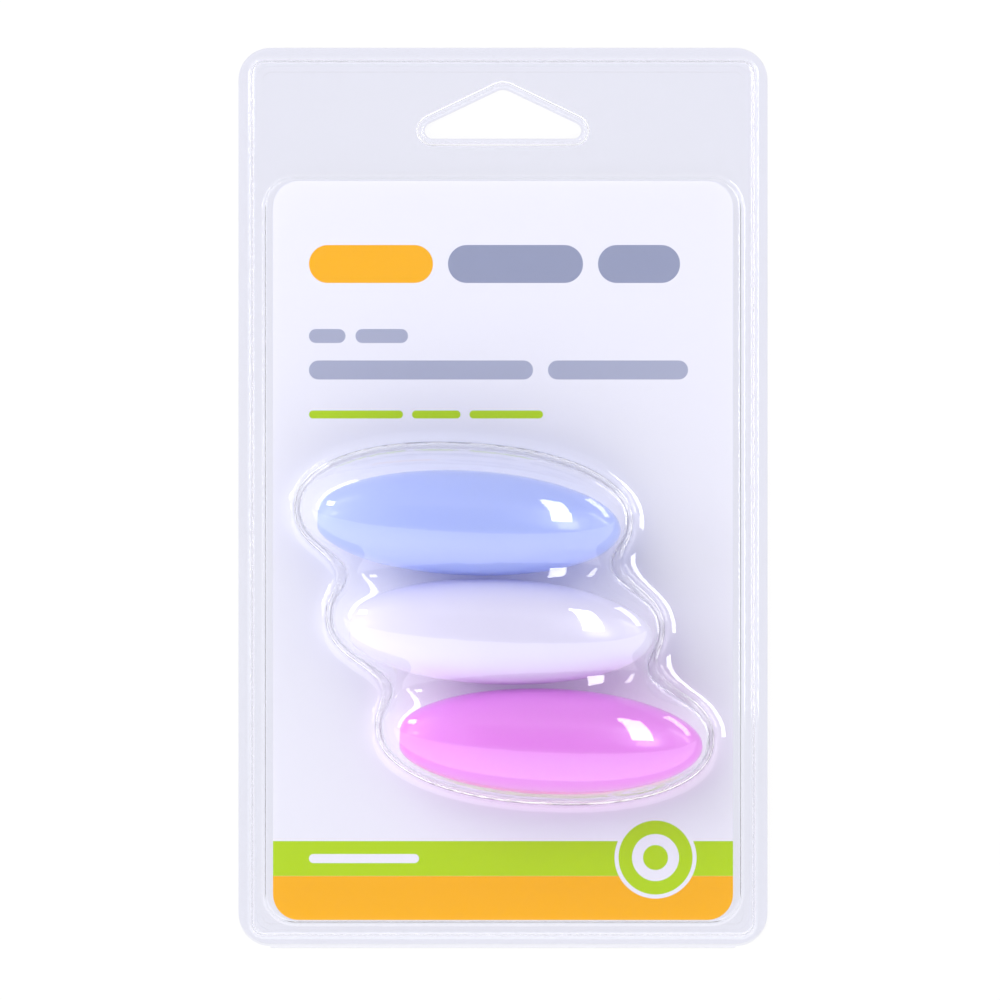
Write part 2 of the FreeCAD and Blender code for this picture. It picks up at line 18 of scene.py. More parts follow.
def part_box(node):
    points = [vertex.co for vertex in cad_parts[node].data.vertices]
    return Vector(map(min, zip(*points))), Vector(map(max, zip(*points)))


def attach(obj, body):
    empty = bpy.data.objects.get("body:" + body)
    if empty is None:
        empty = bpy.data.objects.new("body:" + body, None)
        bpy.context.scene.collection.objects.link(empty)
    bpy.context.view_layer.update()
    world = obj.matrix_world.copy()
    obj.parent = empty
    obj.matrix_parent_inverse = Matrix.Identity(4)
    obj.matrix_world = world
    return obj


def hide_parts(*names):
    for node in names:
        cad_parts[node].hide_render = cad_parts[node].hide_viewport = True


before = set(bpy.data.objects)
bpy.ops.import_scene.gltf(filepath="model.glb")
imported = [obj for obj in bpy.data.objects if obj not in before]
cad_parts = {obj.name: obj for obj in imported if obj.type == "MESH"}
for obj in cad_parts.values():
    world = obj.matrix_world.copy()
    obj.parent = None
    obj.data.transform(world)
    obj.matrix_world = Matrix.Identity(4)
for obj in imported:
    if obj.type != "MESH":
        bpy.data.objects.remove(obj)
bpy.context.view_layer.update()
print("pieces in the frame:", sorted(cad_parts))

MM = 0.001
front_low, front_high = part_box("front_shell")
back_low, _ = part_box("back_shell")
card_low, card_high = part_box("insert_card")
print("pack, mm:", [round(v / MM, 2) for v in (front_high - back_low)])

# %% [markdown]
# ## Camera
# The photograph looks straight down on the front, from about a metre away, so the lens is long
# and the tall bubble hides almost nothing. The picture's middle is a little left of the pack's.

# %% Camera
PIXEL = 0.2 * MM
PICTURE = 1000
LENS = 180.0
SENSOR = 36.0
CLIP_END = 10.0
VIEW_CENTRE = Vector((-0.6 * MM, -0.4 * MM, card_high.z))
distance = PICTURE * PIXEL * LENS / SENSOR
camera_data = bpy.data.cameras.new("camera")
camera_data.lens = LENS
camera_data.sensor_width = SENSOR
camera_data.clip_end = CLIP_END
camera = bpy.data.objects.new("camera", camera_data)
camera.location = VIEW_CENTRE + Vector((0, 0, distance))
bpy.context.collection.objects.link(camera)
bpy.context.scene.camera = camera
print("camera above the card, m:", round(distance, 3))

# %% [markdown]
# ## Materials as small trees
# Every material is a tree of nodes. Three helpers keep the trees short: one starts a material,
# one adds a node with its values, and one writes arithmetic.


# %% Node helpers
def start_material(name):
    """An empty node material with its output node."""
    material = bpy.data.materials.new(name)
    material.use_nodes = True
    material.node_tree.nodes.clear()
    output = material.node_tree.nodes.new("ShaderNodeOutputMaterial")
    return material, material.node_tree, output


def add(tree, kind, values=None, **settings):
    """A node with settings, and with inputs set to values or linked to sockets."""
    node = tree.nodes.new(kind)
    for name, value in settings.items():
        setattr(node, name, value)
    for name, value in (values or {}).items():
        socket = node.inputs[name]
        if isinstance(value, bpy.types.NodeSocket):
            tree.links.new(value, socket)
        else:
            socket.default_value = value
    return node


def calc(tree, operation, *values):
    """One Math node; gives its output socket."""
    node = add(tree, "ShaderNodeMath", dict(enumerate(values)), operation=operation)
    return node.outputs[0]


def mix_colour(tree, amount, first, second):
    """Blends two colours by amount; gives the output socket."""
    node = add(tree, "ShaderNodeMix", data_type="RGBA")
    for index, value in ((0, amount), (6, first), (7, second)):
        if isinstance(value, bpy.types.NodeSocket):
            tree.links.new(value, node.inputs[index])
        else:
            node.inputs[index].default_value = value
    return node.outputs[2]


def srgb(red, green, blue):
    """A screen colour from 0 to 255 as the linear colour that a shader takes."""
    def linear(value):
        value = value / 255
        return value / 12.92 if value <= 0.04045 else ((value + 0.055) / 1.055) ** 2.4
    return (linear(red), linear(green), linear(blue), 1.0)


print("helpers ready")

# %% [markdown]
# ## Small faults of moulded plastic
# No moulded face is perfectly even. One group makes a slow waviness and a fine grain, and puts
# out a height for the bump and a mask for the roughness. Each plastic places the same group with
# its own values.


# %% Shared group: moulded surface
def moulded_surface_group():
    group = bpy.data.node_groups.new("moulded surface", "ShaderNodeTree")
    face = group.interface
    for name, value in (("Wave size", 60.0), ("Grain size", 900.0), ("Grain share", 0.2)):
        socket = face.new_socket(name, in_out="INPUT", socket_type="NodeSocketFloat")
        socket.default_value = value
    for name in ("Height", "Mask"):
        face.new_socket(name, in_out="OUTPUT", socket_type="NodeSocketFloat")
    inlet = add(group, "NodeGroupInput")
    outlet = add(group, "NodeGroupOutput")
    place = add(group, "ShaderNodeTexCoord").outputs["Object"]
    wave = add(group, "ShaderNodeTexNoise",
               {"Vector": place, "Scale": inlet.outputs["Wave size"], "Detail": 1.0})
    grain = add(group, "ShaderNodeTexNoise",
                {"Vector": place, "Scale": inlet.outputs["Grain size"], "Detail": 3.0})
    share = inlet.outputs["Grain share"]
    fine = calc(group, "MULTIPLY", grain.outputs["Fac"], share)
    slow = calc(group, "MULTIPLY", wave.outputs["Fac"], calc(group, "SUBTRACT", 1.0, share))
    group.links.new(calc(group, "ADD", fine, slow), outlet.inputs["Height"])
    group.links.new(grain.outputs["Fac"], outlet.inputs["Mask"])
    return group


MOULDED = moulded_surface_group()
print("group:", MOULDED.name)

# %% [markdown]
# ## Clear sheet
# The shells are pressed from one clear sheet 0.4 mm thick, faintly blue. A closed thin mesh with a
# transmitting shader bends and mirrors light as the real sheet does. A lamp's light would be lost
# in it, so shadow rays go straight through instead. Where the sheet stands steep, light slips
# along it and less comes out below: there the shadow is made deeper, by the facing of the surface.
# Seen edge on, a real drawn wall is thinner than the sheet, so there most light goes straight on.

# %% Clear sheet material
SHEET_IOR = 1.45
SHEET_WAVE = 45.0
SHEET_GRAIN = 0.04
SHEET_RELIEF = 0.3 * MM
SHEET_GLOSS = 0.03
SHEET_BUMP = 0.06
STEEP_BLEND = 0.35
STEEP_SHADOW = (0.74, 0.74, 0.84, 1.0)
SLIP_START, SLIP_END, SLIP_MOST = 0.68, 0.92, 0.75
SLIP_TINT = (0.95, 0.95, 0.97, 1.0)


def clear_sheet_material(name, tint):
    material, tree, output = start_material(name)
    surface = add(tree, "ShaderNodeGroup", node_tree=MOULDED)
    surface.inputs["Wave size"].default_value = SHEET_WAVE
    surface.inputs["Grain share"].default_value = SHEET_GRAIN
    relief = add(tree, "ShaderNodeBump",
                 {"Height": surface.outputs["Height"], "Strength": SHEET_BUMP,
                  "Distance": SHEET_RELIEF})
    gloss = calc(tree, "MULTIPLY_ADD", surface.outputs["Mask"], SHEET_GLOSS,
                 SHEET_GLOSS * 0.5)
    sheet = add(tree, "ShaderNodeBsdfPrincipled",
                {"Base Color": tint, "Roughness": gloss, "IOR": SHEET_IOR,
                 "Transmission Weight": 1.0, "Normal": relief.outputs["Normal"]})
    steep = add(tree, "ShaderNodeLayerWeight", {"Blend": STEEP_BLEND})
    one_face = tuple(math.sqrt(share) for share in tint)
    lost = mix_colour(tree, steep.outputs["Facing"], one_face, STEEP_SHADOW)
    through = add(tree, "ShaderNodeBsdfTransparent", {"Color": lost})
    path = add(tree, "ShaderNodeLightPath")
    straight = calc(tree, "MAXIMUM", path.outputs["Is Shadow Ray"], path.outputs["Is Diffuse Ray"])
    edge_on = add(tree, "ShaderNodeLayerWeight", {"Blend": 0.5})
    slips = add(tree, "ShaderNodeMapRange", {"Value": edge_on.outputs["Facing"],
                                             "From Min": SLIP_START, "From Max": SLIP_END,
                                             "To Min": 0.0, "To Max": SLIP_MOST})
    plain = add(tree, "ShaderNodeBsdfTransparent", {"Color": SLIP_TINT})
    seen = add(tree, "ShaderNodeMixShader",
               {0: slips.outputs[0], 1: sheet.outputs[0], 2: plain.outputs[0]})
    join = add(tree, "ShaderNodeMixShader",
               {0: straight, 1: seen.outputs[0], 2: through.outputs[0]})
    tree.links.new(join.outputs[0], output.inputs["Surface"])
    return material


CLEAR_FRONT = clear_sheet_material("clear front sheet", (0.938, 0.94, 0.98, 1.0))
CLEAR_BACK = clear_sheet_material("clear back sheet", (0.92, 0.924, 0.98, 1.0))
print("clear sheet ready")

# %% [markdown]
# ## Glossy plastic of the covers
# The covers are moulded in milky, half see-through plastic: their colour glows a little from
# inside, which subsurface light gives, under a hard glossy skin. Most of a lamp's light passes
# the thin wall, so shadow rays are let by with the plastic's colour.

# %% Cover plastic
PLASTIC_IOR = 1.46
PLASTIC_WAVE = 90.0
PLASTIC_GRAIN = 0.1
PLASTIC_RELIEF = 0.2 * MM
PLASTIC_BUMP = 0.05
PLASTIC_GLOSS = (0.25, 0.1)
COAT = {"Coat Weight": 0.35, "Coat Roughness": 0.04, "Coat IOR": 1.5}
GLOW = 0.3
GLOW_DEPTH = 5.0 * MM
WALL_LETS_BY = 0.85


def cover_material(name, colour):
    material, tree, output = start_material(name)
    surface = add(tree, "ShaderNodeGroup", node_tree=MOULDED)
    surface.inputs["Wave size"].default_value = PLASTIC_WAVE
    surface.inputs["Grain share"].default_value = PLASTIC_GRAIN
    relief = add(tree, "ShaderNodeBump",
                 {"Height": surface.outputs["Height"], "Strength": PLASTIC_BUMP,
                  "Distance": PLASTIC_RELIEF})
    least, spread = PLASTIC_GLOSS
    gloss = calc(tree, "MULTIPLY_ADD", surface.outputs["Mask"], spread, least)
    plastic = add(tree, "ShaderNodeBsdfPrincipled",
                  {"Base Color": colour, "Roughness": gloss, "IOR": PLASTIC_IOR,
                   "Subsurface Weight": GLOW, "Subsurface Scale": GLOW_DEPTH,
                   "Normal": relief.outputs["Normal"], **COAT})
    plastic.inputs["Subsurface Radius"].default_value = (1.0, 1.0, 1.0)
    through = add(tree, "ShaderNodeBsdfTransparent", {"Color": colour})
    path = add(tree, "ShaderNodeLightPath")
    let_by = calc(tree, "MULTIPLY", path.outputs["Is Shadow Ray"], WALL_LETS_BY)
    join = add(tree, "ShaderNodeMixShader",
               {0: let_by, 1: plastic.outputs[0], 2: through.outputs[0]})
    tree.links.new(join.outputs[0], output.inputs["Surface"])
    return material


COVER_MATERIALS = {
    "blue": cover_material("blue plastic", srgb(164, 181, 243)),
    "clear": cover_material("milky plastic", srgb(224, 220, 240)),
    "pink": cover_material("pink plastic", srgb(230, 126, 230)),
}
print("cover plastics:", list(COVER_MATERIALS))

# %% [markdown]
# ## Printed card
# The card is white, with a green and an orange band at its foot, a round badge over them and
# printed lines at its head. The words of a real card have no place here, so plain bars stand in
# their rows. The whole print is one tree of soft-edged masks on the card's own coordinates.

# %% Print masks
EDGE = 0.05 * MM


def bar_mask(tree, x, y, middle, size, corner):
    """1 inside a bar with round corners, 0 outside."""
    radius = max(min(corner, size[0] / 2, size[1] / 2), 4 * EDGE)
    out_x = calc(tree, "MAXIMUM", calc(tree, "SUBTRACT", calc(tree, "ABSOLUTE", calc(
        tree, "SUBTRACT", x, middle[0])), size[0] / 2 - radius), 0.0)
    out_y = calc(tree, "MAXIMUM", calc(tree, "SUBTRACT", calc(tree, "ABSOLUTE", calc(
        tree, "SUBTRACT", y, middle[1])), size[1] / 2 - radius), 0.0)
    reach = calc(tree, "SQRT", calc(tree, "ADD", calc(tree, "MULTIPLY", out_x, out_x),
                                    calc(tree, "MULTIPLY", out_y, out_y)))
    ramp = add(tree, "ShaderNodeMapRange",
               {"Value": reach, "From Min": radius - EDGE, "From Max": radius + EDGE,
                "To Min": 1.0, "To Max": 0.0})
    return ramp.outputs[0]


print("print edge, mm:", EDGE / MM)

# %% Card material
GREEN = srgb(183, 221, 0)
ORANGE = srgb(255, 183, 0)
GREY = srgb(150, 157, 180)
WHITE = srgb(244, 244, 246)
PALE_GREY = srgb(172, 177, 196)
card_middle = (card_low + card_high) / 2

# Printed rows: colour, left, right, height on the card, thickness, all in mm.
PRINTED_ROWS = [
    (ORANGE, -38.8, -14.0, 46.8, 7.6),
    (GREY, -11.0, 16.0, 46.8, 7.6),
    (GREY, 19.0, 35.4, 46.8, 7.6),
    (PALE_GREY, -38.8, -31.5, 32.4, 2.8),
    (PALE_GREY, -29.5, -19.0, 32.4, 2.8),
    (PALE_GREY, -38.8, 6.0, 25.6, 3.8),
    (PALE_GREY, 9.0, 37.0, 25.6, 3.8),
    (GREEN, -38.8, -20.0, 16.7, 1.6),
    (GREEN, -18.2, -8.5, 16.7, 1.6),
    (GREEN, -6.7, 8.0, 16.7, 1.6),
    (WHITE, -38.8, -16.8, -72.1, 1.8),
]
# Bands across the foot: colour, height on the card, thickness; badge: colour and width of discs.
BANDS = [(GREEN, -72.1, 7.0), (ORANGE, -80.6, 10.0)]
BAND_LENGTH = 1.2 * (card_high.x - card_low.x)
BADGE_MIDDLE = (30.5 * MM, -71.9 * MM)
BADGE = [(WHITE, 16.4), (GREEN, 14.8), (WHITE, 9.4), (GREEN, 5.0)]
BOARD_ROUGHNESS = 0.5
BOARD_SPECULAR = 0.15
FIBRE_SCALE = 2500.0
FIBRE_BUMP = 0.1
FIBRE_RELIEF = 0.03 * MM


def card_material():
    material, tree, output = start_material("printed card")
    place = add(tree, "ShaderNodeTexCoord").outputs["Object"]
    axes = add(tree, "ShaderNodeSeparateXYZ", {0: place})
    x, y, _ = axes.outputs
    layers = [(colour, (card_middle.x, level * MM), (BAND_LENGTH, high * MM), 0.0)
              for colour, level, high in BANDS]
    layers += [(colour, BADGE_MIDDLE, (wide * MM, wide * MM), wide / 2 * MM)
               for colour, wide in BADGE]
    for colour, left, right, level, high in PRINTED_ROWS:
        layers.append((colour, ((left + right) / 2 * MM, level * MM),
                       ((right - left) * MM, high * MM), high * MM))
    colour = WHITE
    for tone, middle, size, corner in layers:
        colour = mix_colour(tree, bar_mask(tree, x, y, middle, size, corner), colour, tone)
    fibre = add(tree, "ShaderNodeTexNoise", {"Vector": place, "Scale": FIBRE_SCALE,
                                               "Detail": 2.0})
    relief = add(tree, "ShaderNodeBump", {"Height": fibre.outputs["Fac"], "Strength": FIBRE_BUMP,
                                          "Distance": FIBRE_RELIEF})
    board = add(tree, "ShaderNodeBsdfPrincipled",
                {"Base Color": colour, "Roughness": BOARD_ROUGHNESS,
                 "Specular IOR Level": BOARD_SPECULAR, "Normal": relief.outputs["Normal"]})
    tree.links.new(board.outputs[0], output.inputs["Surface"])
    return material


CARD = card_material()
print("card, mm:", [round(v / MM, 1) for v in (card_high - card_low)])


# %% Dress the frame's pieces
def dress(node, material):
    """Gives every slot of a frame piece one material."""
    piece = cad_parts[node]
    piece.data.materials.clear()
    piece.data.materials.append(material)


dress("back_shell", CLEAR_BACK)
dress("insert_card", CARD)
for colour, material in COVER_MATERIALS.items():
    dress(colour + "_hinge_pin", material)
print("dressed", 2 + len(COVER_MATERIALS), "pieces")

# %% [markdown]
# ## Shape of the bubble
# A hot sheet sucked over a mould bends in one soft skin. A rule says it best: a number for every
# point of space, zero on the skin. Each lobe has such a rule, a soft minimum melts the lobes
# into each other, and another melts them into the flat card window.

# %% Rule of the bubble
LOBE_HALF = Vector((32.7, 13.3)) * MM
LOBE_RISE = 13.35 * MM
LOBE_POWER = 2.2
LOBE_DRAFT = 1.5 * MM
LOBE_TILT = math.radians(3.1)
SETTLE = (0.55 * MM, 1.55 * MM)
VALLEY_BLEND = 6.0 * MM
FOOT_BLEND = 2.0 * MM
FALL_LIMIT = 1.1
TINY = 1e-12
window_level = 3.6 * MM


def cover_middle(colour):
    """Middle of a cover, from the box of its back half."""
    low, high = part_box(colour + "_cover_back")
    pin_low, pin_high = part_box(colour + "_hinge_pin")
    return (low.x + high.x) / 2, (low.y + high.y) / 2, (pin_low.z + pin_high.z) / 2


LOBES = [cover_middle(colour) for colour in COVER_MATERIALS]
axis_level = LOBES[0][2]
print("lobes, mm:", [[round(v / MM, 2) for v in lobe] for lobe in LOBES])


def soft_min(first, second, blend):
    """The smaller value, with the crease rounded over a width of blend."""
    overlap = np.maximum(blend - np.abs(first - second), 0.0) / blend
    return np.minimum(first, second) - overlap ** 2 * blend / 4


def lobe_rule(points, lobe):
    """Below zero inside one lobe; about the distance to its skin outside."""
    x = points[..., 0] - (lobe[0] - SETTLE[0])
    y = points[..., 1] - (lobe[1] + SETTLE[1])
    z = points[..., 2] - axis_level
    along = x * math.cos(LOBE_TILT) - y * math.sin(LOBE_TILT)
    across = x * math.sin(LOBE_TILT) + y * math.cos(LOBE_TILT)
    height = LOBE_RISE + axis_level - window_level
    fall = np.clip((LOBE_RISE - z) / height, 0.0, FALL_LIMIT) ** 2
    middle = (LOBE_RISE / height) ** 2
    spread = (fall - middle) / (1 - middle) * LOBE_DRAFT
    above = np.maximum(z, 0.0) * (LOBE_HALF[1] / LOBE_RISE)
    round_part = np.sqrt(across ** 2 + above ** 2 + TINY)
    long_share = np.abs(along) / (LOBE_HALF[0] + spread)
    side = np.where(z < 0, spread, spread * (1 - above / LOBE_HALF[1]))
    wide_share = round_part / (LOBE_HALF[1] + side)
    share = (long_share ** LOBE_POWER + wide_share ** LOBE_POWER + TINY) ** (1 / LOBE_POWER)
    return (share - 1.0) * (LOBE_HALF[1] + spread)


def skin_rule(points):
    """Below zero under the pressed sheet's outer face."""
    value = lobe_rule(points, LOBES[0])
    for lobe in LOBES[1:]:
        value = soft_min(value, lobe_rule(points, lobe), VALLEY_BLEND)
    return soft_min(value, points[..., 2] - window_level, FOOT_BLEND)


depth_inside = float(skin_rule(np.array([LOBES[1]]))[0])
print("rule at the middle lobe's axis, mm:", round(depth_inside / MM, 2))

# %% [markdown]
# ## From the rule to a mesh
# Space is cut into small cubes. A cube with the rule's zero inside gets one point, and each edge
# of the grid that the skin crosses gets one face between its four cubes. A few steps along the
# rule's slope then put every point exactly on the skin, so the gloss stays calm.

# %% Skin mesh
CELL = 0.6 * MM
SLOPE_STEP = 0.02 * MM
PULL_STEPS = 6


def slope(points):
    """The rule's gradient by small differences."""
    rise = np.empty_like(points)
    for axis in range(3):
        offset = np.zeros(3)
        offset[axis] = SLOPE_STEP
        rise[:, axis] = (skin_rule(points + offset) - skin_rule(points - offset)) / (2 * SLOPE_STEP)
    return rise


def skin_patch(low, high):
    """Points and faces of the skin inside a box."""
    counts = [int(round((b - a) / CELL)) + 1 for a, b in zip(low, high)]
    ticks = [a + CELL * np.arange(n) for a, n in zip(low, counts)]
    grid = np.stack(np.meshgrid(*ticks, indexing="ij"), axis=-1)
    inside = skin_rule(grid) < 0
    cells = np.zeros([n - 1 for n in counts], int)
    for corner in np.ndindex(2, 2, 2):
        cells += inside[tuple(slice(start, n - 1 + start) for start, n in zip(corner, counts))]
    crossed = (cells > 0) & (cells < 8)
    number = np.full(crossed.shape, -1)
    number[crossed] = np.arange(crossed.sum())
    points = grid[:-1, :-1, :-1][crossed] + CELL / 2
    faces = []
    for axis in range(3):
        first = [slice(1, -1)] * 3
        second = [slice(1, -1)] * 3
        first[axis] = slice(0, -1)
        second[axis] = slice(1, None)
        here, there = inside[tuple(first)], inside[tuple(second)]
        one, two = (axis + 1) % 3, (axis + 2) % 3
        for flip, chosen in ((False, here & ~there), (True, ~here & there)):
            spots = np.argwhere(chosen)
            spots[:, one] += 1
            spots[:, two] += 1
            corners = []
            for step_one, step_two in ((-1, -1), (0, -1), (0, 0), (-1, 0)):
                spot = spots.copy()
                spot[:, one] += step_one
                spot[:, two] += step_two
                corners.append(number[tuple(spot.T)])
            quad = np.stack(corners, axis=1)
            faces.append(quad[:, ::-1] if flip else quad)
    for _ in range(PULL_STEPS):
        rise = slope(points)
        value = skin_rule(points)
        points = points - rise * (value / np.maximum((rise ** 2).sum(axis=1), 1e-9))[:, None]
    return points, np.concatenate(faces)


patch_low = np.array([-46.8, -68.0, 2.4]) * MM
patch_high = np.array([46.8, 18.4, 28.2]) * MM
skin_points, skin_faces = skin_patch(patch_low, patch_high)
print("skin:", len(skin_points), "points,", len(skin_faces), "faces, top at mm",
      round(skin_points[:, 2].max() / MM, 2))

# %% [markdown]
# ## Edges pressed into the sheet
# Round the bubble the sheet is flat, with soft steps: a raised card window, a plateau and a low
# flange. Each step is a stack of rounded rectangles, joined ring by ring. Flat areas between the
# rings are filled by a triangulation that keeps to their outlines.

# %% Rings and flats
CORNER_CUTS = 10


def rounded_ring(middle_y, half_x, half_y, radius, z):
    """Points of a rounded rectangle, the same number for any size."""
    ring = []
    for quarter, (sx, sy) in enumerate(((1, 1), (-1, 1), (-1, -1), (1, -1))):
        for cut in range(CORNER_CUTS + 1):
            turn = (quarter + cut / CORNER_CUTS) * math.pi / 2
            ring.append((sx * (half_x - radius) + radius * math.cos(turn),
                         middle_y + sy * (half_y - radius) + radius * math.sin(turn), z))
    return [Vector(point) * MM for point in ring]


def soft_step(foot, head, bend, cuts=5):
    """Levels and shares of a step's profile, with round bends at its foot and head."""
    rise, run = head[1] - foot[1], head[0] - foot[0]
    lean = math.atan2(rise, run)
    tangent = bend * math.tan(lean / 2)
    profile = []
    for cut in range(cuts + 1):
        turn = lean * cut / cuts
        profile.append((foot[0] - tangent + bend * math.sin(turn),
                        foot[1] + bend * (1 - math.cos(turn))))
    for cut in range(cuts + 1):
        turn = lean * (1 - cut / cuts)
        profile.append((head[0] + tangent - bend * math.sin(turn),
                        head[1] - bend * (1 - math.cos(turn))))
    return profile


def fill_between(mesh, outer, holes, z):
    """Fills a flat area between closed outlines."""
    loops = [outer] + holes
    points = [point.to_2d() for loop in loops for point in loop]
    edges = []
    start = 0
    for loop in loops:
        count = len(loop)
        edges += [(start + i, start + (i + 1) % count) for i in range(count)]
        start += count
    found, _, faces, _, _, _ = delaunay_2d_cdt(points, edges, [], 0, 1e-9)
    hole_loops = [[point.to_2d() for point in loop] for loop in holes]
    outer_loop = [point.to_2d() for point in outer]
    vertices = [mesh.verts.new((point.x, point.y, z)) for point in found]
    made = 0
    for face in faces:
        middle = sum((found[i] for i in face), Vector((0, 0))) / len(face)
        in_hole = any(inside_loop(middle, hole) for hole in hole_loops)
        if inside_loop(middle, outer_loop) and not in_hole:
            mesh.faces.new([vertices[i] for i in face])
            made += 1
    return made


def inside_loop(point, loop):
    """True if a point of the plane lies inside a closed outline."""
    crossings = False
    for here, there in zip(loop, loop[1:] + loop[:1]):
        if (here.y > point.y) != (there.y > point.y):
            x = here.x + (point.y - here.y) / (there.y - here.y) * (there.x - here.x)
            crossings ^= point.x < x
    return crossings


def join_rings(mesh, rings):
    """Quads between rings that follow each other."""
    rows = [[mesh.verts.new(point) for point in ring] for ring in rings]
    for low, high in zip(rows, rows[1:]):
        for i in range(len(low)):
            j = (i + 1) % len(low)
            mesh.faces.new((low[i], low[j], high[j], high[i]))


def hang_ring(margin, z):
    """The hang hole's outline, grown by a margin: a low triangle with round corners."""
    corner, apex = HANG["corner"] + margin, HANG["apex"] + margin
    span = HANG["width"] / 2 - HANG["corner"]
    rise = HANG["height"] - HANG["apex"] - HANG["corner"]
    lean = math.atan2(rise, span) + math.asin((apex - corner) / math.hypot(span, rise))
    quarter = math.pi / 2
    ring = []
    for centre, radius, start, end, cuts in (
            ((span, 0), corner, -quarter, quarter - lean, 12),
            ((0, rise), apex, quarter - lean, quarter + lean, 8),
            ((-span, 0), corner, quarter + lean, 3 * quarter, 12)):
        for cut in range(cuts + 1):
            turn = start + (end - start) * cut / cuts
            ring.append((centre[0] + radius * math.cos(turn),
                         HANG["base"] + HANG["corner"] + centre[1] + radius * math.sin(turn), z))
    return [Vector(point) * MM for point in ring]


HANG = {"width": 31.4, "height": 9.8, "corner": 1.6, "apex": 2.8, "base": 72.0}
print("points in a ring:", len(rounded_ring(0, 10, 10, 1, 0)), "and", len(hang_ring(0, 0)))

# %% Front sheet
GAUGE = 0.4
FLANGE_TOP = front_low.z / MM + GAUGE
PLATEAU = 2.7
WINDOW = window_level / MM
STEP_BEND = 0.9
WINDOW_BEND = 0.9
PIT_BEND = 0.6
RIM_RADIUS = 6.4
# Outlines are: middle y, half width, half height, corner radius, all in mm.
STEP_FOOT, STEP_HEAD = (0.0, 50.7, 87.9, 3.0), (0.0, 50.2, 87.4, 2.5)
WINDOW_FOOT, WINDOW_HEAD = (-10.45, 48.18, 75.0, 6.6), (-10.45, 47.43, 74.25, 5.85)
PIT_MARGIN, PIT_RUN = 0.6, 0.75
WELD = 0.002 * MM
SHARP_ANGLE = math.radians(50)


def mixed(first, second, share):
    return tuple(a + (b - a) * share for a, b in zip(first, second))


def ring_stack(outer, inner, foot_z, head_z, bend):
    """Rings of a step from an outer outline to an inner one."""
    run = outer[1] - inner[1]
    return [rounded_ring(*mixed(outer, inner, along / run), z)
            for along, z in soft_step((0.0, foot_z), (run, head_z), bend)]


def front_sheet():
    mesh = bmesh.new()
    half_x, half_y = front_high.x / MM, (front_high.y - front_low.y) / 2 / MM
    middle_y = (front_high.y + front_low.y) / 2 / MM
    rim = rounded_ring(middle_y, half_x, half_y, RIM_RADIUS, FLANGE_TOP)
    step = ring_stack(STEP_FOOT, STEP_HEAD, FLANGE_TOP, PLATEAU, STEP_BEND)
    window = ring_stack(WINDOW_FOOT, WINDOW_HEAD, PLATEAU, WINDOW, WINDOW_BEND)
    pit = [hang_ring(along + PIT_MARGIN, z)
           for along, z in soft_step((0.0, FLANGE_TOP), (PIT_RUN, PLATEAU), PIT_BEND)]
    hole = hang_ring(0.0, FLANGE_TOP)
    patch = {i: mesh.verts.new(point) for i, point in enumerate(skin_points)}
    for face in skin_faces:
        mesh.faces.new([patch[i] for i in face])
    mesh.edges.index_update()
    border = border_loop(mesh)
    join_rings(mesh, step)
    join_rings(mesh, window)
    join_rings(mesh, pit)
    flats = fill_between(mesh, rim, [step[0]], FLANGE_TOP * MM)
    flats += fill_between(mesh, step[-1], [window[0], pit[-1]], PLATEAU * MM)
    flats += fill_between(mesh, window[-1], [border], WINDOW * MM)
    flats += fill_between(mesh, pit[0], [hole], FLANGE_TOP * MM)
    bmesh.ops.remove_doubles(mesh, verts=mesh.verts, dist=WELD)
    bmesh.ops.recalc_face_normals(mesh, faces=mesh.faces)
    if sum(face.normal.z for face in mesh.faces) < 0:
        bmesh.ops.reverse_faces(mesh, faces=mesh.faces)
    data = bpy.data.meshes.new("front_sheet")
    mesh.to_mesh(data)
    mesh.free()
    sheet = bpy.data.objects.new("front_sheet", data)
    bpy.context.collection.objects.link(sheet)
    print("flat faces:", flats)
    return sheet


def make_plain(piece):
    """Turns a piece with modifiers into a plain mesh."""
    bpy.context.view_layer.update()
    bent = piece.evaluated_get(bpy.context.evaluated_depsgraph_get())
    shape = bpy.data.meshes.new_from_object(bent)
    piece.modifiers.clear()
    piece.data = shape


def mark_sharp(piece):
    """Smooth shading that breaks at real edges."""
    mesh = bmesh.new()
    mesh.from_mesh(piece.data)
    for edge in mesh.edges:
        edge.smooth = len(edge.link_faces) == 2 and edge.calc_face_angle() < SHARP_ANGLE
    for face in mesh.faces:
        face.smooth = True
    mesh.to_mesh(piece.data)
    mesh.free()


def calm_shading(piece):
    """Keeps the shading of large flat faces flat up to the bends beside them."""
    weigh = piece.modifiers.new("weigh", "WEIGHTED_NORMAL")
    weigh.mode = "FACE_AREA"
    weigh.weight = 100
    weigh.keep_sharp = True


def border_loop(mesh):
    """The open edge of the skin patch, in order."""
    open_edges = [edge for edge in mesh.edges if len(edge.link_faces) == 1]
    following = {}
    for edge in open_edges:
        for vertex in edge.verts:
            following.setdefault(vertex, []).append(edge.other_vert(vertex))
    start = open_edges[0].verts[0]
    loop, before, here = [start], None, start
    while True:
        step = [vertex for vertex in following[here] if vertex is not before][0]
        if step is start:
            break
        loop.append(step)
        before, here = here, step
    for vertex in loop:
        vertex.co.z = window_level
    return [vertex.co.copy() for vertex in loop]


sheet = front_sheet()
sheet.data.materials.append(CLEAR_FRONT)
wall = sheet.modifiers.new("wall", "SOLIDIFY")
wall.thickness = GAUGE * MM
wall.offset = -1.0
wall.use_even_offset = True
make_plain(sheet)
mark_sharp(sheet)
calm_shading(sheet)
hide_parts("front_shell")
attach(sheet, "front_half")
print("front sheet faces:", len(sheet.data.polygons))

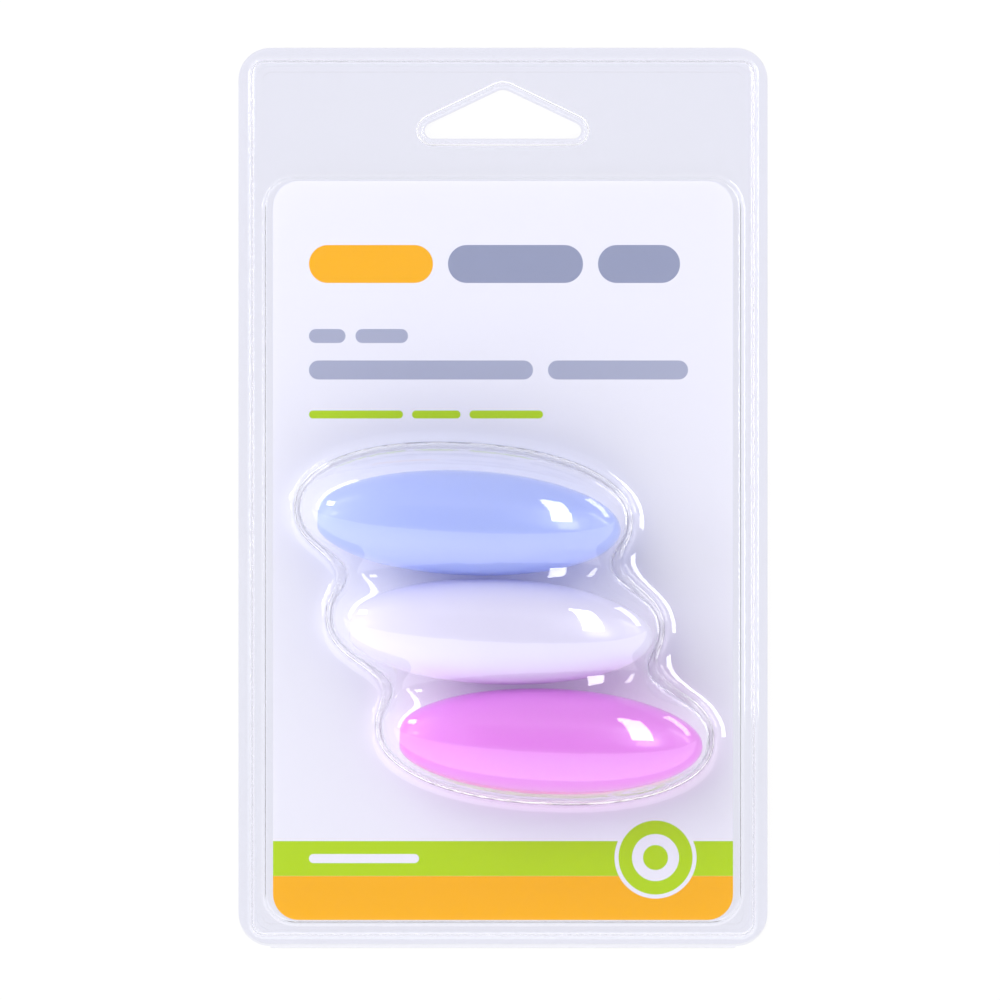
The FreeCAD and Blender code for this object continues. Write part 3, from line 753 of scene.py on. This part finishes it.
# %% [markdown]
# ## The covers
# A cover is an egg cut along its length into two half shells. Its nose is cut short and left
# round, with a hole for the brush's neck. The front half has two knuckles and two snap pegs. The
# back half has the middle knuckle, the sockets and a row of vents. All of this is a rule with a
# few sizes, so one tree of Geometry Nodes makes all six halves and only its inputs change.

# %% Sizes of a cover
COVER = {
    "Half length": 30.55, "Half width": 10.4, "Wall": 1.2, "End wall": 5.05, "Nose cut": 0.45,
    "Nose bend": 4.0, "Neck hole": 4.6, "Parting gap": 0.06, "Hinge inset": 2.2, "Barrel": 2.2,
    "Barrel length": 4.8, "Knuckle": 1.8, "Knuckle gap": 0.15, "Pin hole": 1.1, "Peg": 1.0,
    "Peg fit": 0.1, "Peg back": 3.6, "Peg spread": 7.0, "Vent": 1.6, "Vent pitch": 12.0,
}
COVER_TURN = {"blue": 2.8, "clear": 2.2, "pink": 2.0}
EGG_CUTS = (112, 64)
DRUM_CUTS = 40
VENTS = 3
print("sizes of a cover:", len(COVER))


# %% Small solids in a node tree
def vector(tree, x=0.0, y=0.0, z=0.0):
    return add(tree, "ShaderNodeCombineXYZ", {0: x, 1: y, 2: z}).outputs[0]


def placed(tree, solid, place, turn=(0.0, 0.0, 0.0)):
    return add(tree, "GeometryNodeTransform", {"Geometry": solid, "Translation": place,
                                               "Rotation": turn}).outputs[0]


def drum(tree, width, length, place, turn=(0.0, 0.0, 0.0)):
    """A round bar along Z, turned and placed."""
    bar = add(tree, "GeometryNodeMeshCylinder",
              {"Vertices": DRUM_CUTS, "Radius": calc(tree, "MULTIPLY", width, 0.5),
               "Depth": length})
    return placed(tree, bar.outputs["Mesh"], place, turn)


def block(tree, size, place):
    return placed(tree, add(tree, "GeometryNodeMeshCube", {"Size": size}).outputs["Mesh"], place)


def join_solids(tree, operation, first, others):
    """Mesh Boolean; for a union or an overlap all the solids go into one socket."""
    node = add(tree, "GeometryNodeMeshBoolean", operation=operation, solver="MANIFOLD")
    if operation == "DIFFERENCE":
        tree.links.new(first, node.inputs["Mesh 1"])
    else:
        tree.links.new(first, node.inputs["Mesh 2"])
    for solid in others:
        tree.links.new(solid, node.inputs["Mesh 2"])
    return node.outputs["Mesh"]


def egg(tree, half_length, half_width, nose=None, bend=None):
    """A long egg along X; the nose is pressed short with a round edge."""
    segments, rings = EGG_CUTS
    ball = add(tree, "GeometryNodeMeshUVSphere",
               {"Segments": segments, "Rings": rings, "Radius": 1.0})
    lying = placed(tree, ball.outputs["Mesh"], (0.0, 0.0, 0.0),
                   (math.pi / segments, math.pi / 2, 0.0))
    spots = add(tree, "GeometryNodeInputPosition").outputs[0]
    here = add(tree, "ShaderNodeSeparateXYZ", {0: spots}).outputs
    x = calc(tree, "MULTIPLY", here[0], half_length)
    if nose is not None:
        x = calc(tree, "SMOOTH_MAX", x, nose, bend)
    spot = vector(tree, x, calc(tree, "MULTIPLY", here[1], half_width),
                  calc(tree, "MULTIPLY", here[2], half_width))
    return add(tree, "GeometryNodeSetPosition", {"Geometry": lying, "Position": spot}).outputs[0]


print("small solids ready")


# %% Tree of a cover half
def cover_tree():
    tree = bpy.data.node_groups.new("cover half", "GeometryNodeTree")
    face = tree.interface
    face.new_socket("Geometry", in_out="OUTPUT", socket_type="NodeSocketGeometry")
    for name, size in COVER.items():
        inlet = face.new_socket(name, in_out="INPUT", socket_type="NodeSocketFloat")
        inlet.default_value = size * MM
    face.new_socket("Front", in_out="INPUT", socket_type="NodeSocketBool")
    face.new_socket("Middle", in_out="INPUT", socket_type="NodeSocketVector")
    face.new_socket("Turn", in_out="INPUT", socket_type="NodeSocketFloat")
    face.new_socket("Material", in_out="INPUT", socket_type="NodeSocketMaterial")
    size = add(tree, "NodeGroupInput").outputs
    outlet = add(tree, "NodeGroupOutput")

    def less(first, second):
        return calc(tree, "SUBTRACT", first, second)

    def times(first, second):
        return calc(tree, "MULTIPLY", first, second)

    half, wide = size["Half length"], size["Half width"]
    cavity_half = less(half, size["End wall"])
    outer = egg(tree, half, wide, less(size["Nose cut"], half), size["Nose bend"])
    cavity = egg(tree, cavity_half, less(wide, size["Wall"]))
    neck = drum(tree, size["Neck hole"], half,
                vector(tree, less(times(size["Neck hole"], 0.5), calc(
                    tree, "ADD", cavity_half, times(half, 0.5)))), (0.0, math.pi / 2, 0.0))
    shell = join_solids(tree, "DIFFERENCE", outer, [cavity, neck])

    across = (math.pi / 2, 0.0, 0.0)
    hinge = less(half, size["Hinge inset"])
    room = calc(tree, "ADD", times(size["Barrel"], 0.5), size["Knuckle gap"])
    high = times(wide, 2.0)
    pin_hole = drum(tree, size["Pin hole"], high, vector(tree, hinge), across)
    peg_x = less(size["Peg back"], half)
    peg_y = times(size["Peg spread"], 0.5)

    def pair(width, length, z):
        return [drum(tree, width, length, vector(tree, peg_x, times(peg_y, side), z))
                for side in (-1.0, 1.0)]

    upper = block(tree, vector(tree, times(half, 4.0), high, high),
                  vector(tree, 0.0, 0.0, calc(tree, "ADD", size["Parting gap"], wide)))
    front = join_solids(tree, "INTERSECT", shell, [upper])
    barrel = drum(tree, size["Barrel"], size["Barrel length"], vector(tree, hinge), across)
    pegs = pair(size["Peg"], times(size["Peg"], 2.0), 0.0)
    front = join_solids(tree, "UNION", front, [barrel] + pegs)
    slot_wide = calc(tree, "MULTIPLY_ADD", size["Knuckle gap"], 2.0, size["Knuckle"])
    slot_high = calc(tree, "ADD", size["Barrel"], room)
    slot = block(tree, vector(tree, times(room, 2.0), slot_wide, slot_high),
                 vector(tree, hinge, 0.0, times(less(room, size["Barrel"]), 0.5)))
    front = join_solids(tree, "DIFFERENCE", front, [slot, pin_hole])

    lower = block(tree, vector(tree, times(half, 4.0), high, high),
                  vector(tree, 0.0, 0.0, times(wide, -1.0)))
    back = join_solids(tree, "INTERSECT", shell, [lower])
    relief = block(tree, vector(tree, half, high, times(high, 2.0)),
                   vector(tree, calc(tree, "ADD", less(hinge, room), times(half, 0.5))))
    line = add(tree, "GeometryNodeMeshLine",
               {"Count": VENTS, "Start Location": vector(tree, times(size["Vent pitch"], -1.0), 0.0,
                                                     times(wide, -1.0)),
                "Offset": vector(tree, size["Vent pitch"])})
    borer = add(tree, "GeometryNodeMeshCylinder",
                {"Vertices": DRUM_CUTS, "Radius": times(size["Vent"], 0.5),
                 "Depth": times(size["Wall"], 4.0)})
    vents = add(tree, "GeometryNodeInstanceOnPoints", {"Points": line.outputs[0],
                                                       "Instance": borer.outputs["Mesh"]})
    vents = add(tree, "GeometryNodeRealizeInstances", {"Geometry": vents.outputs[0]}).outputs[0]
    socket_wide = calc(tree, "MULTIPLY_ADD", size["Peg fit"], 2.0, size["Peg"])
    back = join_solids(tree, "DIFFERENCE", back,
                       [relief, vents] + pair(socket_wide, times(socket_wide, 2.0), 0.0))
    eye = drum(tree, size["Barrel"], size["Knuckle"], vector(tree, hinge), across)
    web_high = less(times(size["Barrel"], 0.5), times(size["Parting gap"], 2.0))
    web = block(tree, vector(tree, size["Barrel"], size["Knuckle"], web_high),
                vector(tree, less(hinge, times(size["Barrel"], 0.5)), 0.0,
                       times(less(web_high, size["Barrel"]), 0.25)))
    back = join_solids(tree, "UNION", back, [eye, web])
    back = join_solids(tree, "DIFFERENCE", back, [pin_hole])

    chosen = add(tree, "GeometryNodeSwitch", input_type="GEOMETRY")
    tree.links.new(size["Front"], chosen.inputs["Switch"])
    tree.links.new(back, chosen.inputs["False"])
    tree.links.new(front, chosen.inputs["True"])
    lying = placed(tree, chosen.outputs[0], size["Middle"], vector(tree, 0.0, 0.0, size["Turn"]))
    whole = add(tree, "GeometryNodeRealizeInstances", {"Geometry": lying})
    painted = add(tree, "GeometryNodeSetMaterial", {"Geometry": whole.outputs[0],
                                                    "Material": size["Material"]})
    tree.links.new(painted.outputs[0], outlet.inputs[0])
    return tree


COVER_TREE = cover_tree()
print("nodes in the cover's tree:", len(COVER_TREE.nodes))


# %% Six cover halves
def cover_half(colour, side):
    """One half of one cover, as a plain mesh in its place in the pack."""
    name = "%s_%s_half" % (colour, side)
    piece = bpy.data.objects.new(name, bpy.data.meshes.new(name))
    bpy.context.collection.objects.link(piece)
    shape = piece.modifiers.new("shape", "NODES")
    shape.node_group = COVER_TREE
    turn = -math.radians(COVER_TURN[colour])
    pin_low, pin_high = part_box(colour + "_hinge_pin")
    hinge = (COVER["Half length"] - COVER["Hinge inset"]) * MM
    middle = (pin_low + pin_high) / 2 - Vector((math.cos(turn), math.sin(turn), 0)) * hinge
    values = {"Front": side == "front", "Middle": middle, "Turn": turn,
              "Material": COVER_MATERIALS[colour]}
    for socket in COVER_TREE.interface.items_tree:
        if socket.in_out == "INPUT" and socket.name in values:
            shape[socket.identifier] = values[socket.name]
    make_plain(piece)
    mark_sharp(piece)
    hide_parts("%s_cover_%s" % (colour, side))
    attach(piece, colour + ("_lid" if side == "front" else "_cover"))
    return piece


for colour in COVER_MATERIALS:
    for side in ("back", "front"):
        half = cover_half(colour, side)
        top = max(vertex.co.z for vertex in half.data.vertices)
        print(half.name, len(half.data.polygons), "faces, top at mm", round(top / MM, 2))

# %% [markdown]
# ## Light and floor
# Soft boxes stand at both sides of a white tent: each is set by the direction it comes from, its
# width and height in degrees, and its brightness, where the tent's white is about 1. The key box
# only adds light. The strip hangs overhead and gives the window shape in the clear sheet's gloss.


# %% Lamps
LAMP_DISTANCE = 1.2
LAMP_TARGET = Vector((0.0, -0.02, 0.01))


def soft_box(name, azimuth, polar, wide, high, brightness):
    """A rectangular lamp; azimuth runs from +X towards +Y, polar from straight up."""
    turn, fall = math.radians(azimuth), math.radians(polar)
    way = Vector((math.sin(fall) * math.cos(turn), math.sin(fall) * math.sin(turn),
                  math.cos(fall)))
    data = bpy.data.lights.new(name, "AREA")
    data.shape = "RECTANGLE"
    data.size = 2 * LAMP_DISTANCE * math.tan(math.radians(wide) / 2)
    data.size_y = 2 * LAMP_DISTANCE * math.tan(math.radians(high) / 2)
    data.energy = brightness * 4 * data.size * data.size_y
    lamp = bpy.data.objects.new(name, data)
    lamp.location = LAMP_TARGET + way * LAMP_DISTANCE
    lamp.rotation_euler = (-way).to_track_quat("-Z", "Y").to_euler()
    bpy.context.collection.objects.link(lamp)
    return lamp


soft_box("left_box", 165, 62, 9, 9, 8.0)
soft_box("left_wall", 150, 76, 60, 6, 5.0)
soft_box("right_wall", 27, 76, 34, 8, 5.0)
key = soft_box("key_box", 125, 38, 40, 40, 1.6)
key.visible_glossy = False
key.visible_transmission = False


def ceiling_panel(name, low, high, height, brightness):
    """A lamp that hangs flat over the pack between two corners."""
    data = bpy.data.lights.new(name, "AREA")
    data.shape = "RECTANGLE"
    data.size, data.size_y = high[0] - low[0], high[1] - low[1]
    data.energy = brightness * 4 * data.size * data.size_y
    lamp = bpy.data.objects.new(name, data)
    lamp.location = ((low[0] + high[0]) / 2, (low[1] + high[1]) / 2, height)
    lamp.visible_diffuse = False
    bpy.context.collection.objects.link(lamp)


ceiling_panel("strip", (0.60, -0.1), (0.93, 0.95), 1.1, 8.0)

# %% [markdown]
# ## Tent
# The tent has an opening round the camera, whose mirror image is the dark eye on every cover, and
# a small darker hole inside it. Below the opening the near side is bright. Each window is given by
# its edges in degrees and by how soft each edge is. The camera itself sees plain white.

# %% Tent
TENT_NEAR = 2.1
TENT_FAR = 1.2
TENT_OPENING = 0.72
TENT_HOLE = 0.02
NEAR_EDGE = (-29.5, -32.5)
OPENING_X = (-36.0, 57.0, 14.0, 2.5)
OPENING_Y = (-31.0, 86.0, 1.5, 4.0)
HOLE_X = (-22.0, 40.0, 9.0, 14.0)
HOLE_Y = (-25.0, 14.0, 5.0, 8.0)
TENT_COLOUR = (1.0, 0.99, 0.96, 1.0)
HORIZON = 0.001


def tent():
    world = bpy.data.worlds.new("tent")
    world.use_nodes = True
    tree = world.node_tree
    tree.nodes.clear()
    way = add(tree, "ShaderNodeTexCoord").outputs["Generated"]
    across, along, up = add(tree, "ShaderNodeSeparateXYZ", {0: way}).outputs

    def gap(over_x, over_y):
        """1 inside a window of the tent, given in degrees with a soft width for each side."""
        mask = 1.0
        for side, (low, high, low_soft, high_soft) in ((across, over_x), (along, over_y)):
            angle = calc(tree, "ARCTAN2", side, calc(tree, "MAXIMUM", up, HORIZON))
            for edge, soft, sign in ((low, low_soft, 1), (high, high_soft, -1)):
                ramp = add(tree, "ShaderNodeMapRange",
                           {"Value": angle, "From Min": math.radians(edge - sign * soft),
                            "From Max": math.radians(edge + sign * soft)},
                           interpolation_type="SMOOTHSTEP").outputs[0]
                mask = calc(tree, "MULTIPLY", mask, ramp)
        return mask

    rest = calc(tree, "MULTIPLY_ADD", gap(OPENING_X, OPENING_Y), TENT_OPENING - TENT_FAR, TENT_FAR)
    rest = calc(tree, "MULTIPLY_ADD", gap(HOLE_X, HOLE_Y), TENT_HOLE - TENT_OPENING, rest)
    near = add(tree, "ShaderNodeMapRange",
               {"Value": calc(tree, "ARCTAN2", along, calc(tree, "MAXIMUM", up, HORIZON)),
                "From Min": math.radians(NEAR_EDGE[0]), "From Max": math.radians(NEAR_EDGE[1])},
               interpolation_type="SMOOTHSTEP").outputs[0]
    level = calc(tree, "ADD", rest, calc(tree, "MULTIPLY", near, TENT_NEAR - TENT_FAR))
    path = add(tree, "ShaderNodeLightPath")
    plain = calc(tree, "MAXIMUM", path.outputs["Is Camera Ray"],
                 path.outputs["Is Transmission Ray"])
    shown = calc(tree, "MAXIMUM", plain, level)
    colour = add(tree, "ShaderNodeBackground", {"Color": TENT_COLOUR, "Strength": shown})
    output = add(tree, "ShaderNodeOutputWorld")
    tree.links.new(colour.outputs[0], output.inputs["Surface"])
    return world


bpy.context.scene.world = tent()
print("tent ready")

# %% [markdown]
# ## Floor
# The floor is white to the camera, and a share of plain matt white in it keeps the pack's shadow.

# %% Floor
FLOOR_HALF = 2.0
FLOOR_LEVEL = -0.1 * MM
FLOOR_GREY = (0.9, 0.9, 0.9, 1.0)
WHITE_SHARE = 0.85


def floor_material():
    material, tree, output = start_material("white floor")
    matt = add(tree, "ShaderNodeBsdfDiffuse", {"Color": FLOOR_GREY})
    white = add(tree, "ShaderNodeEmission", {"Color": (1.0, 1.0, 1.0, 1.0), "Strength": 1.0})
    path = add(tree, "ShaderNodeLightPath")
    seen = calc(tree, "MAXIMUM", path.outputs["Is Camera Ray"], calc(
        tree, "MAXIMUM", path.outputs["Is Glossy Ray"], path.outputs["Is Transmission Ray"]))
    join = add(tree, "ShaderNodeMixShader", {0: calc(tree, "MULTIPLY", seen, WHITE_SHARE),
                                             1: matt.outputs[0], 2: white.outputs[0]})
    tree.links.new(join.outputs[0], output.inputs["Surface"])
    return material


floor_data = bpy.data.meshes.new("floor")
floor_data.from_pydata([(x * FLOOR_HALF, y * FLOOR_HALF, FLOOR_LEVEL)
                        for x, y in ((-1, -1), (1, -1), (1, 1), (-1, 1))], [], [(0, 1, 2, 3)])
floor_data.materials.append(floor_material())
floor = bpy.data.objects.new("floor", floor_data)
bpy.context.collection.objects.link(floor)
bpy.context.scene.view_settings.view_transform = "Standard"
print("floor ready")
